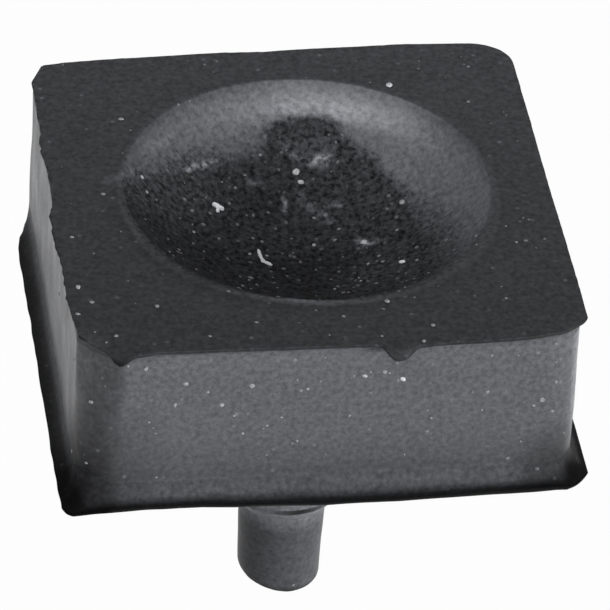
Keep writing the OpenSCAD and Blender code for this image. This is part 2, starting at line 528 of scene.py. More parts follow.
# painted reflection on the top of the tail, painted shade on the edge above the cut
TAIL_PAINTED_LIGHT, BEVEL_PAINTED_SHADE, END_SHADE = 0.145, 0.03, 0.035


def trimmed(plan):
    """Height of the slanted cut across the stem's end."""
    return -STEM_L + TRIM_X * plan[:, 0] + TRIM_Y * plan[:, 1]


# painted sheen at both sides of the stem, more on its left against the stem's painted shade
sides_painted_light = 1 + 0.2 * lip_spoke[:, 0] ** 2 + 0.5 * np.clip(-lip_spoke[:, 0], 0, 1)
tail_painted_light = TAIL_PAINTED_LIGHT * sides_painted_light
for i in range(1, CONE_RINGS + 1):
    t = i / CONE_RINGS
    plan = lip_spoke * mix(SHANK_R, TAIL_R, t)
    add_ring(plan, CONE_Z - CONE_L * t, "stem", mix(STEM_PAINTED_LIGHT, tail_painted_light, t), "cone")
for i in range(TAIL_RINGS + 1):
    plan = lip_spoke * mix(TAIL_R, TAIL_END_R, i / TAIL_RINGS)
    shade = mix(tail_painted_light, STEM_SHADE, min(i / 3, 1.0)) if i < TAIL_RINGS else BEVEL_PAINTED_SHADE
    height = mix(TAIL_Z, trimmed(plan) + END_BEVEL, i / TAIL_RINGS)
    add_ring(plan, height, "stem", shade, "tail")
for i in range(1, END_RINGS):
    plan = lip_spoke * (TAIL_END_R * (1 - i / END_RINGS) if i > 1 else TAIL_END_R - END_BEVEL)
    add_ring(plan, trimmed(plan), "end", END_SHADE, "cut")
print(len(rings), "rings,", len(rings) * RING, "points")

# %% [markdown]
# ## Joining the rings
# Each pair of neighbouring rings makes a band of four-sided faces, and a fan of triangles closes
# the two ends. This could be left to a bridge tool, but the order of the points is known, so a
# short loop does it exactly. The mesh is smooth shaded; rings that lie close together keep its
# edges crisp.

# %% Build the mesh
points = np.concatenate(rings + [
    [[DISH_X, DISH_Y, TOP_Z - DISH_DEPTH]],
    [[0.0, 0.0, -STEM_L]],
])
bands = len(rings) - 1
dish_pole = len(rings) * RING
end_pole = dish_pole + 1
faces = []
for level in range(bands):
    for k in range(RING):
        a, b = level * RING + k, level * RING + (k + 1) % RING
        faces.append((a, a + RING, b + RING, b))
last = bands * RING
for k in range(RING):
    faces.append((dish_pole, k, (k + 1) % RING))
    faces.append((end_pole, last + (k + 1) % RING, last + k))

skin_mesh = bpy.data.meshes.new("buffer_skin")
skin_mesh.from_pydata(points.tolist(), [], faces)
skin_mesh.shade_smooth()
skin = bpy.data.objects.new("buffer_skin", skin_mesh)
bpy.context.scene.collection.objects.link(skin)
skin_mesh.update()
normals = np.array([v.normal[:] for v in skin_mesh.vertices])
print(len(faces), "faces")

# %% [markdown]
# ## Tools for uneven finishes
# No face of a casting has one even shade. The next steps say where rubber is paler, rougher or
# more worn, and each of them is built from four small tools: a smooth noise, a slope between two
# limits, a soft edge, and a bump that is highest in the middle. Places in the dish are easier to
# name by how far from its middle they are and at what angle, so the last tool gives that.

# %% Noise, slopes and places round the dish
def wave(point, size, seed):
    """Smooth noise between about -1 and 1 whose bumps are size metres apart."""
    return noise.noise(Vector(point) / size + Vector((seed, seed * 1.7, seed * 2.3)))


def ramp(value, start, width):
    """Rises from 0 at start to 1 a width further on. A negative width rises the other way."""
    return min(max((value - start) / width, 0.0), 1.0)


def soft_step(value, edge, width):
    """Rises from 0 to 1 across an edge. A negative width rises the other way."""
    return min(max((value - edge) / width + 0.5, 0.0), 1.0)


def bell(value, centre, width):
    """Is 1 at the centre, and falls off on both sides of it."""
    return math.exp(-(((value - centre) / width) ** 2))


def round_dish(x, y):
    """How far a place is from the middle of the dish in mm, and at what angle in degrees."""
    dx, dy = x - DISH_X / MM, y - DISH_Y / MM
    return math.hypot(dx, dy), math.degrees(math.atan2(dy, dx))


print("the front left corner is", round(round_dish(-15, -15)[0], 1), "mm from the dish's middle")

# %% [markdown]
# ## The rough patch in the dish
# Whatever rested in the dish has scuffed it. A rough dark patch covers the floor and the near
# side, and only a crescent of smooth rubber is left round the far side. Noise would put the patch
# anywhere, so its edge is a table again: at each angle, how far out it reaches and how soft its
# edge is. Its shade changes with the angle too, by another table. It is painted darker at the
# front, a painted shade on the slope that faces away from the light, and paler at the back, a
# painted light on the slope that faces it. Angles are in degrees, anticlockwise from the right.

# %% Rough patch
PATCH_EDGE = [
    (-150, 12.2), (-60, 12.2), (-36, 10.6), (-20, 9.2), (-5, 8.3), (16, 7.7), (32, 7.5),
    (46, 8.0), (60, 8.4), (69, 9.2), (74, 9.65), (84, 9.65), (92, 9.45), (97, 9.0),
    (103, 8.35), (116, 8.2), (136, 8.9), (149, 9.7), (161, 10.5), (169, 11.2), (179, 12.0),
]
PATCH_SOFT = [
    (-60, 1.5), (-36, 4.5), (-20, 3.6), (15, 2.2), (30, 0.9), (66, 0.8), (75, 0.4), (95, 0.5),
    (105, 1.8), (165, 1.8),
]
PATCH_ROUND = [
    (-170, 1.2), (-140, 1.2), (-110, 1.1), (-95, 1.0), (-80, 1.2), (-65, 1.6), (-50, 1.95),
    (-20, 2.1), (-5, 1.65), (10, 1.3), (40, 0.95), (70, 0.78), (90, 0.6), (115, 0.55),
    (130, 0.62), (145, 0.85), (160, 0.92),
]
PATCH_SHADE = 0.0285
# painted shade on the patch's near slope, painted light on its far slope
PATCH_NEAR_SHADE, PATCH_FAR_LIGHT = 0.6, 2.15


def patch_share(x, y, ragged):
    """How far a place is inside the rough patch, from 0 outside to 1 inside."""
    reach, angle = round_dish(x, y)
    edge = read_off(PATCH_EDGE, angle, 360) + ragged
    return soft_step(reach, edge, -read_off(PATCH_SOFT, angle, 360))


def patch_tone_and_painted_light(x, y):
    """How pale the patch is, with painted shade at the front and painted light at the back."""
    reach, angle = round_dish(x, y)
    turned = mix(1.0, read_off(PATCH_ROUND, angle, 360), ramp(reach, 1.5, 3))
    return PATCH_SHADE * turned * mix(PATCH_NEAR_SHADE, PATCH_FAR_LIGHT, ramp(y, -0.5, 8.2))


print("the patch reaches", round(read_off(PATCH_EDGE, 90, 360), 1), "mm towards the back")

# %% [markdown]
# ## The smooth rubber of the dish
# The crescent that is left is smooth and grey. It faces the lamps, and it is painted pale, a
# painted light, most at the back right. Behind the patch a narrow band of it is painted paler
# still, a painted highlight, and the painted light falls off just before the rim. Two tables by
# angle hold the crescent's painted light and what the highlight band adds to it.

# %% Smooth crescent
# the crescent's painted light, by angle
DISH_PAINTED_LIGHT = [
    (-60, 0.11), (-5, 0.145), (22, 0.165), (40, 0.205), (58, 0.18), (75, 0.15), (100, 0.145),
    (118, 0.13), (145, 0.108), (170, 0.095),
]
# the painted highlight band, by angle
BAND_PAINTED_HIGHLIGHT = [
    (5, 0.0), (25, 0.02), (40, 0.06), (55, 0.12), (68, 0.18), (76, 0.18), (88, 0.15), (98, 0.08),
    (125, 0.0),
]
BAND_REACH, BAND_WIDTH = 9.95, 0.5
# the painted light falls off just before the rim
RIM_PAINTED_FALLOFF = 0.7


def dish_painted_light(x, y):
    """Painted light on the dish's smooth rubber, its painted highlight band and rim falloff."""
    reach, angle = round_dish(x, y)
    band = read_off(BAND_PAINTED_HIGHLIGHT, angle) * bell(reach, BAND_REACH, BAND_WIDTH)
    return (read_off(DISH_PAINTED_LIGHT, angle) + band) * mix(1.0, RIM_PAINTED_FALLOFF, ramp(reach, 10.65, 0.45))


print("shade at the back of the dish", round(dish_painted_light(DISH_X / MM, 10.6), 3))

# %% [markdown]
# ## Tone, painted shade and highlight on the top face and the rim
# The top is a little paler towards the back and pale at the front left corner. Along the near
# side of the rim, where the top rounds down into the shaded dish, it is painted darker in a soft
# crescent, a painted shade. Right at the near rim a thin line is painted pale, a painted
# highlight where the rounded rim catches the light. Each effect is a factor on the shade of its
# zone, so that they can be tried one at a time and simply multiplied.

# %% Tone, painted shade and highlight on the top and the rim
TOP_TONE = 0.84
TOP_TONE_X, TOP_TONE_Y = 0.003, 0.0095
TOP_CORNER = (-14.2, -13.6)
CORNER_TONE, CORNER_SIZE = 1.6, 1.3
# a painted highlight along the near rim, as a factor on the shade
RIM_PAINTED_HIGHLIGHT = 1.6


def top_tone_and_painted_shade(x, y, reach, angle):
    """The top face's tilt from dark to pale, its pale corner and painted shade by the near rim."""
    tilt = TOP_TONE + TOP_TONE_Y * y + TOP_TONE_X * x
    off_corner = math.hypot(x - TOP_CORNER[0], y - TOP_CORNER[1]) / CORNER_SIZE
    corner = mix(CORNER_TONE, 1.0, min(off_corner, 1.0))
    near = min(max(0.3 - (y - DISH_Y / MM) / max(reach, 1.0), 0.0), 1.0)
    painted_shade = 0.25 * near + 0.35 * bell(angle, -137, 30)
    return tilt * corner * (1 - painted_shade * ramp(reach, 12.9, -1.6))


def rim_painted_light(reach, angle):
    """The painted highlight along the near rim, and the painted shade to its left."""
    rim_highlight = RIM_PAINTED_HIGHLIGHT * bell(angle, -100, 15) * bell(reach, 11.4, 0.22)
    painted_shade = 0.5 * bell(angle, -132, 22) * ramp(reach, 12.1, -0.8)
    return (1 + rim_highlight) * (1 - painted_shade)


print("the near rim's pale line:", round(rim_painted_light(11.4, -100), 1), "times the shade")

# %% [markdown]
# ## Painted shade, highlight and tone on the walls
# The lower front corners, where the wide fillet turns up out of the low key lamp's light, are
# painted darker, a painted shade, and a blotchy strip of the front wall beside its left edge is
# darker too. The front wall is darker towards its foot, a painted shade by the fillet, and paler
# under the flash, and its right-hand edge is painted pale, a painted highlight where the light
# grazes it. A table of three places, each with its size and its least shade, is enough for the
# corners.

# %% Painted shade, highlight and tone on the walls
# painted shade in the lower front corners
CORNER_SHADE_SPOTS = [
    ((-15.0, -15.0, 0.6), 4.6, 0.75),
    ((-14.6, -14.6, 3.0), 5.5, 0.65),
    ((15.0, -15.6, 0.6), 4.6, 0.32),
]
STRIP_X, STRIP_TONE = -12.5, 0.62
# darker towards the foot, a painted shade by the fillet, and paler under the flash
FRONT_BY_HEIGHT = [(1.0, 0.62), (2.5, 0.83), (4.5, 1.0), (9.0, 1.08), (10.5, 1.22)]
# a painted highlight on the right-hand edge of the front wall
RIGHT_EDGE_X, RIGHT_EDGE_HIGHLIGHT = 14.2, 2.6


def painted_corner_shade(x, y, z):
    """The painted shade in the lower front corners, as a factor on the shade."""
    darker = 1.0
    for (sx, sy, sz), size, least in CORNER_SHADE_SPOTS:
        far = math.sqrt((x - sx) ** 2 + (y - sy) ** 2 + (z - sz) ** 2) / size
        darker *= mix(least, 1.0, min(far, 1.0) ** 2)
    return darker


def dark_strip(p, x):
    """The blotchy dark strip of the front wall beside its left edge."""
    inside = 1 - soft_step(x, STRIP_X + 0.5 * wave(p, 1.6 * MM, 31), 0.6)
    return mix(1.0, STRIP_TONE + 0.22 * wave(p, 0.7 * MM, 33), inside)


def front_wall_tone_and_highlight(x, y, z):
    """The front wall by height, and the painted highlight on its right-hand edge."""
    edge = ramp(x, RIGHT_EDGE_X, 0.5) * ramp(y, -12.0, -1.0)
    height = read_off(FRONT_BY_HEIGHT, z) if y < -10 else 1.0
    return height * mix(1.0, RIGHT_EDGE_HIGHLIGHT, edge)


print("shade factor low on the front wall", round(front_wall_tone_and_highlight(0.0, -14.7, 1.5), 2))

# %% [markdown]
# ## All the tones, painted light and shade together
# The stem is painted darker on its left, a painted shade away from the key lamp, and the lip is
# painted darker at the front, a painted shade. With these two, one function can say how much
# paler or darker any place is: it looks at the zone and multiplies the factors that belong to it.
# Keeping the choice in one place makes it easy to see what acts where.

# %% Tone and painted light by zone
# painted shade on the front of the lip
LIP_FRONT_PAINTED_SHADE = 0.86
# painted shade round the stem, darkest on its left, away from the key lamp
STEM_PAINTED_SHADE = [
    (-170, 0.42), (-150, 0.57), (-120, 0.80), (-100, 0.94), (-50, 1.1), (0, 1.0), (60, 0.9),
    (120, 0.8), (150, 0.5), (170, 0.31),
]


def tone_and_painted_light(p, zone):
    """How much paler or darker a place is than its ring's own shade."""
    x, y, z = p / MM
    reach, angle = round_dish(x, y)
    if zone == "stem":
        return read_off(STEM_PAINTED_SHADE, math.degrees(math.atan2(y, x)), 360)
    if zone == "rim":
        return rim_painted_light(reach, angle)
    if zone == "top":
        return top_tone_and_painted_shade(x, y, reach, angle) * rim_painted_light(reach, angle)
    factor = 1.0
    if zone in ("wall", "flash", "lip"):
        factor *= painted_corner_shade(x, y, z) * (dark_strip(p, x) if y < -12 else 1.0)
    if zone == "wall":
        factor *= front_wall_tone_and_highlight(x, y, z)
    if zone == "lip" and y < -10:
        factor *= LIP_FRONT_PAINTED_SHADE
    return factor


print("shade factor at the middle of the front lip", tone_and_painted_light(np.array([0, -15.7, 0.3]) * MM, "lip"))

# %% [markdown]
# ## The left wall
# The mould scratched faint upright streaks into the left wall as the casting was pulled out, and
# low at its front corner the rubber was rubbed matt. There it is also painted a little darker, a
# painted shade in the corner by the lip. Squeezing the height of a noise by half stretches its
# blotches upright, which is the quickest way to a streak.

# %% Streaks and the matt corner of the left wall
STREAK_SQUEEZE = 0.5
STREAK_TONE, STREAK_SHADE, STREAK_ROUGH = 1.1, 0.35, 0.12
# the matt corner is also painted a little darker, a painted shade
MATT_CORNER_ROUGH, MATT_CORNER_PAINTED_SHADE = 0.4, 0.1


def streaks(p):
    """A factor on the shade, and what is added to the roughness."""
    tall = (p[0], p[1], STREAK_SQUEEZE * p[2])
    shade = STREAK_TONE + STREAK_SHADE * wave(tall, 0.9 * MM, 41)
    return shade, STREAK_ROUGH * wave(tall, 1.6 * MM, 43)


def matt_corner(y, z):
    """A factor of painted shade on the shade, and what is added to the roughness."""
    low = ramp(z, 6.5, -4.5)
    shade = 1 - MATT_CORNER_PAINTED_SHADE * low * ramp(y, -9, -5.0)
    return shade, MATT_CORNER_ROUGH * low * ramp(y, -9, -3.5)


print("the matt corner adds up to", matt_corner(-15, 1)[1], "to the roughness")

# %% [markdown]
# ## From rings to points
# Until now a zone, a shade and a roughness belonged to a whole ring. The wear differs along each
# ring, so every point gets its own copy of them, and so do the two points in the middle of the
# dish and of the stem's end. The rim also needs to know how far it has turned into the top face.

# %% Values of every point
zone_of = [z for z in zones for _ in range(RING)] + ["dish", "end"]
shade = np.concatenate(shades + [[DISH_SHADE, END_SHADE]])
rough = np.concatenate([np.repeat(roughs, RING), [ROUGHNESS["dish"], ROUGHNESS["cut"]]])
rim_share = np.zeros(len(points))
for i in range(1, RIM_RINGS + 1):
    rim_share[(DISH_RINGS + i - 1) * RING : (DISH_RINGS + i) * RING] = i / RIM_RINGS
print(len(zone_of), "points in", len(set(zones)), "zones")

# %% [markdown]
# ## Roughen and shade the skin
# A casting is never flat. A slow noise moves the skin in and out by a few hundredths of a
# millimetre, and the patch and the cut end get bumps of their own. All moves follow the surface's
# own normal, so that no face folds over. The same loop works out each point's shade and
# roughness, as every effect above acts on it.

# %% Roughen and shade the skin
SLOW = {"flash": 0.05, "wall": 0.06, "lip": 0.05, "stem": 0.05, "end": 0.05}
SLOW_ELSEWHERE = 0.03
SLOW_SIZE = 4.5 * MM
FINE, FINE_SIZE = 0.012, 1.1 * MM
PATCH_COARSE, PATCH_FINE, CUT_END = 0.06, 0.03, 0.05
PATCH_RAGGED = 0.3

patch = np.zeros(len(points))
moved = points.copy()
for i, p in enumerate(points):
    zone = zone_of[i]
    x, y, z = p / MM
    slow = SLOW.get(zone, SLOW_ELSEWHERE)
    push = slow * wave(p, SLOW_SIZE, 3) + FINE * wave(p, FINE_SIZE, 8)
    if zone in ("dish", "rim"):
        inside = patch_share(x, y, PATCH_RAGGED * wave(p, 1.2 * MM, 21))
        patch[i] = inside * (1 - rim_share[i])
        shade[i] = mix(dish_painted_light(x, y), patch_tone_and_painted_light(x, y), inside)
        shade[i] = mix(shade[i], TOP_SHADE, rim_share[i])
        bumps = PATCH_COARSE * wave(p, 0.8 * MM, 5) + PATCH_FINE * wave(p, 0.4 * MM, 6)
        push += inside * bumps
    if zone == "end":
        push += CUT_END * wave(p, 0.8 * MM, 12)
    if zone == "wall" and x < -14:
        factor, rougher = streaks(p)
        shade[i] *= factor
        rough[i] += rougher
    if zone in ("wall", "lip") and x < -13 and y < -9:
        factor, rougher = matt_corner(y, z)
        shade[i] *= factor
        rough[i] += rougher
    shade[i] *= tone_and_painted_light(p, zone)
    moved[i] = p + normals[i] * push * MM
farthest = float(np.linalg.norm(moved - points, axis=1).max())
print("the skin moved by up to", round(farthest / MM, 3), "mm")

# %% [markdown]
# ## Store the values on the mesh
# The material has to read the shade, the roughness, the patch and how dusty a place is. A painted
# image could hold them, but it would need unwrapping. Attributes on the points need none, and
# they keep all the detail of the mesh. Dust clings to the rough patch and to flat faces.

# %% Store the values on the mesh
DUSTY = {
    "dish": 0.05, "rim": 0.3, "top": 0.55, "flash": 0.3, "wall": 0.5, "lip": 0.2, "end": 0.3,
    "stem": 0.1,
}
PATCH_ROUGHNESS = 0.8

skin_mesh.vertices.foreach_set("co", moved.ravel())
rough = mix(rough, PATCH_ROUGHNESS, patch)
dusty = mix(np.array([DUSTY.get(z, 0.0) for z in zone_of]), 1.0, patch)
# the shade holds the rubber's own tone together with the painted light and shade set above
for name, values in (("shade", shade), ("rough", rough), ("patch", patch), ("dusty", dusty)):
    layer = skin_mesh.attributes.new(name, "FLOAT", "POINT")
    layer.data.foreach_set("value", values)
skin_mesh.update()
print("rough share of the dish:", round(float(patch[: DISH_RINGS * RING].mean()), 2))

# %% [markdown]
# ## Tools for materials
# A material is a tree of shader nodes, and written out it soon fills pages. One helper adds a
# node with its values, and takes the output of an earlier node where there is one, so the wires
# need no lines of their own. Five more make what comes up again and again.

# %% Shader nodes
def node(tree, kind, at, inputs=None, **settings):
    """Adds a shader node. An input is a plain value, or the output of an earlier node."""
    made = tree.nodes.new(kind)
    made.location = at
    for name, value in settings.items():
        setattr(made, name, value)
    for name, value in (inputs or {}).items():
        if isinstance(value, bpy.types.NodeSocket):
            tree.links.new(value, made.inputs[name])
        else:
            made.inputs[name].default_value = value
    return made


def rescale(tree, at, value, **limits):
    """Map Range node: limits are from_min, from_max, to_min and to_max."""
    inputs = {name.replace("_", " ").title(): number for name, number in limits.items()}
    return node(tree, "ShaderNodeMapRange", at, {"Value": value, **inputs}).outputs["Result"]


def product(tree, at, a, b):
    """Math node that multiplies two outputs."""
    return node(tree, "ShaderNodeMath", at, {0: a, 1: b}, operation="MULTIPLY").outputs[0]


def tinted(tree, at, pale, tint):
    """Colour ramp from black to a tint."""
    ramp_node = node(tree, "ShaderNodeValToRGB", at, {"Fac": pale})
    ramp_node.color_ramp.elements[0].color = (0, 0, 0, 1)
    ramp_node.color_ramp.elements[1].color = tint
    return ramp_node.outputs["Color"]


def carried(tree, at, name):
    """Reads an attribute that the mesh carries."""
    return node(tree, "ShaderNodeAttribute", at, attribute_name=name).outputs["Fac"]


def new_material(name):
    """A material with its node tree and its shader."""
    material = bpy.data.materials.new(name)
    material.use_nodes = True
    return material, material.node_tree, material.node_tree.nodes["Principled BSDF"]


print("a tree can be built from nodes, rescaled and multiplied values, tints and attributes")

# %% [markdown]
# ## Mottling and specks of dust
# Black rubber is never quite black: it is a dark grey, mottled on a scale of a third of a
# millimetre, with specks of dust in its grain. The mottling is a noise that is calm on moulded
# rubber and wild in the rough patch. Noise has no dots in it, so the specks come from a Voronoi
# texture, which splits space into cells: a few of the cells get a dot in the middle.

# %% Mottling and specks
MOTTLE_SCALE, CELL_SCALE = 3000.0, 1250.0


def mottling(tree, place, patch_at):
    """Fine clouds that are calm on moulded rubber and wild in the rough patch."""
    clouds = node(tree, "ShaderNodeTexNoise", (-1300, 300),
                  {"Vector": place, "Scale": MOTTLE_SCALE, "Detail": 3.0, "Roughness": 0.65})
    cloud = clouds.outputs["Fac"]
    calm = rescale(tree, (-1100, 400), cloud, from_min=0.3, from_max=0.7, to_min=0.64, to_max=1.38)
    wild = rescale(tree, (-1100, 150), cloud, from_min=0.33, from_max=0.7, to_min=0.2, to_max=2.2)
    between = node(tree, "ShaderNodeMix", (-900, 300), {"Factor": patch_at, "A": calm, "B": wild},
                   data_type="FLOAT")
    return between.outputs["Result"]


def specks(tree, place, dusty_at):
    """Specks of dust: a small dot in some of the cells of a Voronoi texture."""
    cells = node(tree, "ShaderNodeTexVoronoi", (-1300, -250),
                 {"Vector": place, "Scale": CELL_SCALE})
    colour = cells.outputs["Color"]
    chosen = node(tree, "ShaderNodeSeparateColor", (-1100, -450), {"Color": colour}).outputs["Red"]
    spot = rescale(tree, (-1100, -200), cells.outputs["Distance"], from_min=0.21, from_max=0.08)
    some = rescale(tree, (-900, -400), chosen, from_min=0.55, from_max=1.0, to_max=0.16)
    return product(tree, (-550, -250), product(tree, (-700, -250), spot, some), dusty_at)


print("clouds", round(1000 / MOTTLE_SCALE, 2), "mm and cells", 1000 / CELL_SCALE, "mm across")

# %% [markdown]
# ## Black rubber
# The material reads the shade and the roughness from the mesh and adds only the fine detail, so
# the same tree fits every face. The bumps are faint on moulded rubber and strong in the rough
# patch. A slightly blue tint keeps the pale bloom cool. The gloss is the one thing that can't
# follow the mesh, so two materials are made, one for smooth rubber and one for matt.

# %% Rubber material
RUBBER_TINT = (0.96, 0.985, 1.07, 1)
LUMP_SCALE = 2800.0
BUMP_HEIGHT = 0.06 * MM
SMOOTH_GLOSS, MATT_GLOSS = 0.28, 0.10


def black_rubber(name, gloss):
    """Black rubber: its shade and roughness follow the casting, with mottling and soft dust."""
    material, tree, shader = new_material(name)
    shader.inputs["Specular IOR Level"].default_value = gloss
    place = node(tree, "ShaderNodeTexCoord", (-1700, 0)).outputs["Object"]
    shade_at = carried(tree, (-1500, 600), "shade")
    rough_at = carried(tree, (-1500, 400), "rough")
    patch_at = carried(tree, (-1500, 200), "patch")
    dusty_at = carried(tree, (-1500, 0), "dusty")

    shaded = product(tree, (-700, 400), shade_at, mottling(tree, place, patch_at))
    dust = specks(tree, place, dusty_at)
    total = node(tree, "ShaderNodeMath", (-500, 300), {0: shaded, 1: dust}, operation="ADD")
    colour = tinted(tree, (-300, 300), total.outputs[0], RUBBER_TINT)
    tree.links.new(colour, shader.inputs["Base Color"])
    tree.links.new(rough_at, shader.inputs["Roughness"])

    lumps = node(tree, "ShaderNodeTexNoise", (-900, -600),
                 {"Vector": place, "Scale": LUMP_SCALE, "Detail": 3.0})
    strength = rescale(tree, (-900, -850), patch_at, to_min=0.12, to_max=1.0)
    bump = node(tree, "ShaderNodeBump", (-400, -600), {
        "Distance": BUMP_HEIGHT, "Height": lumps.outputs["Fac"], "Strength": strength,
    })
    tree.links.new(bump.outputs["Normal"], shader.inputs["Normal"])
    return material


skin_mesh.materials.append(black_rubber("black_rubber", SMOOTH_GLOSS))
skin_mesh.materials.append(black_rubber("matt_rubber", MATT_GLOSS))
print("materials:", [m.name for m in skin_mesh.materials])

# %% [markdown]
# ## Which faces are matt
# The walls and the smooth crescent came off a polished mould and have a gloss, while the top, the
# lip, the stem and the scuffed patch are matt. Each band of faces is given one of the two
# materials by its zones. Then the skin takes the place of the CAD solid in the frame.

# %% Choose the finish and hand the skin over
MATT_ZONES = ("rim", "top", "flash", "lip", "under", "stem", "end")

matt_bands = [int(a in MATT_ZONES and b in MATT_ZONES) for a, b in zip(zones, zones[1:])]
in_patch = patch[: bands * RING] > 0.5
matt = np.maximum(np.repeat(matt_bands, RING), in_patch)
which = np.concatenate([matt, np.ones(2 * RING, int)])
skin_mesh.polygons.foreach_set("material_index", which)
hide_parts("rubber_buffer")
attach(skin, "root")
print("matt share of the skin:", round(float(which.mean()), 2))

# %% [markdown]
# ## Finding a place on the skin
# Smudges, grains and fibres lie at places that are easiest to point at in the camera's view. A
# ray is sent from the camera through such a place, and where it meets the skin, the thing is put
# down. So it sits on the rubber whichever side it is seen from.

# %% Places on the skin
tree_of_skin = BVHTree.FromPolygons(moved.tolist(), faces)


def on_skin(px, py):
    """Where the camera's ray meets the skin, px across and py down its view, and the normal."""
    centre = IMAGE_SIDE / 2
    ray = Vector(((px - centre) / FOCAL_PIXELS, (centre - py) / FOCAL_PIXELS, -1))
    turned = camera.matrix_world.to_quaternion() @ ray.normalized()
    spot, normal, _, _ = tree_of_skin.ray_cast(camera.matrix_world.translation, turned)
    return spot, normal


print("the middle of the view is at", in_mm(on_skin(IMAGE_SIDE / 2, IMAGE_SIDE / 2)[0]), "mm")

# %% [markdown]
# ## Smudges
# Where a finger has drawn dry dust along, it leaves a short pale smear with soft ends. Loose
# geometry would be too crisp for that, so each smear is painted into the shade attribute: the
# points of the mesh near its line are made paler, and the effect fades with distance. A smear is
# given by how much paler it is, how wide in millimetres, and its line in the camera's view.

# %% Paint the smudges
SMUDGES_PX = [
    (0.14, 0.13, [(284, 199), (286, 205), (285, 212)]),
    (0.18, 0.15, [(187, 170), (196, 166), (205, 165), (216, 161)]),
    (0.26, 0.27, [(313, 163), (318, 158), (327, 157), (322, 163)]),
    (0.035, 0.28, [(106, 181), (118, 177), (132, 172)]),
    (0.07, 0.25, [(291, 158), (298, 156), (306, 160)]),
    (0.10, 0.13, [(326, 206), (333, 204), (341, 205)]),
    (0.06, 0.16, [(246, 181), (254, 184), (264, 184)]),
    (0.05, 0.30, [(300, 196), (306, 205), (318, 213), (330, 222)]),
    (0.03, 0.35, [(285, 145), (300, 150), (318, 140), (332, 146)]),
    (0.12, 0.22, [(358, 240), (366, 244), (374, 242)]),
    (0.03, 0.30, [(150, 150), (160, 143), (172, 138)]),
]
SMUDGE_STEPS = (0.0, 0.2, 0.4, 0.6, 0.8, 1.0)


def along_trail(trail, steps):
    """Places on the skin along a line of points in the camera's view, with their normals."""
    for a, b in zip(trail, trail[1:]):
        for t in steps:
            yield on_skin(mix(a[0], b[0], t), mix(a[1], b[1], t))


smudged = np.zeros(len(points))
for amount, width, trail in SMUDGES_PX:
    for spot, _ in along_trail(trail, SMUDGE_STEPS):
        far = np.linalg.norm(moved - np.array(spot), axis=1) / (width * MM)
        smudged = np.maximum(smudged, amount * np.exp(-(far**2)))
skin_mesh.attributes["shade"].data.foreach_set("value", shade + smudged)
print("smudged points:", int((smudged > 0.005).sum()))

# %% [markdown]
# ## Dust grains
# Rubber pulls dust out of the air, and a dish collects it. Each grain is a tiny lumpy stone that
# is half sunk in the skin. Particles could scatter them, but the brightest grains have to be in
# their own places, so those are listed by their place in the camera's view and their size: the
# bigger, the paler. Every grain takes its form from one seeded source of chance, so that it comes
# out the same each time.

# %% Grains with places of their own
GRAINS_PX = [
    (142, 177, 1.2), (147, 192, 0.9), (103, 194, 0.9), (296, 172, 1.6), (301, 182, 1.7),
    (245, 175, 0.8), (260, 155, 0.8), (222, 182, 0.7), (194, 232, 1.0), (402, 202, 1.2),
    (397, 230, 0.8), (364, 242, 1.5), (402, 262, 2.0), (476, 236, 1.0), (446, 240, 0.8),
    (389, 85, 1.6), (121, 119, 1.0), (387, 301, 1.0), (361, 281, 0.9), (335, 240, 0.9),
    (314, 245, 1.1), (314, 218, 0.9), (339, 229, 0.9), (368, 264, 1.0), (379, 256, 0.9),
    (417, 260, 0.8), (157, 306, 0.9), (335, 289, 0.9), (342, 135, 0.8), (329, 135, 0.7),
    (250, 254, 0.9), (365, 376, 1.3), (385, 372, 1.0), (403, 379, 1.5), (424, 341, 1.0),
    (382, 336, 0.8), (433, 325, 0.9), (146, 369, 1.0), (186, 384, 1.0), (252, 386, 1.0),
    (175, 405, 1.1), (222, 405, 1.2), (556, 382, 0.9), (552, 411, 0.9), (542, 400, 1.0),
    (556, 344, 0.8), (72, 237, 0.9), (78, 287, 1.2), (92, 302, 0.9), (78, 314, 1.0),
    (91, 402, 1.0), (72, 451, 0.9), (86, 463, 0.9), (116, 336, 0.9), (210, 336, 0.8),
    (293, 585, 0.9),
]
GRAIN_R = 0.12 * MM
GRAIN_FLATNESS = 0.4
PLACED_GRAIN_R = 1.1
PLACED_GRAIN_PALE = 0.55
chance = random.Random(7)
grains = bmesh.new()
pale_layer = grains.verts.layers.float.new("pale")


def add_grain(spot, normal, radius, pale):
    """One closed lumpy grain, half sunk in the skin, of its own shade."""
    made = bmesh.ops.create_icosphere(grains, subdivisions=2, radius=1.0)["verts"]
    turn = normal.to_track_quat("Z", "Y")
    stretch = Vector((chance.uniform(0.7, 1.3), chance.uniform(0.7, 1.3), GRAIN_FLATNESS)) * radius
    spin = Matrix.Rotation(chance.uniform(0, math.tau), 3, "Z")
    for v in made:
        lump = v.co * chance.uniform(0.85, 1.15)
        lump = spin @ Vector((lump.x * stretch.x, lump.y * stretch.y, lump.z * stretch.z))
        v.co = spot + turn @ lump
        v[pale_layer] = pale


for px, py, size in GRAINS_PX:
    spot, normal = on_skin(px, py)
    if spot:
        pale = PLACED_GRAIN_PALE * (size - 0.4)
        add_grain(spot, normal, GRAIN_R * size * PLACED_GRAIN_R, pale)
print(len(GRAINS_PX), "grains with places of their own")

# %% [markdown]
# ## Scattered grains
# The finer dust has no places of its own. It is dropped from above onto the patch, where most of
# it gathers, and onto the whole top, and blown at the walls from the front and the sides. A ray
# finds where each grain lands, and the same source of chance gives its size and shade.

# %% Scattered grains
START = 50 * MM
PATCH_GRAINS, TOP_GRAINS, WALL_GRAINS = 120, 110, 150
TOP_HALF = 14.4
WALL_HALF = 14
DOWN = Vector((0, 0, -1))


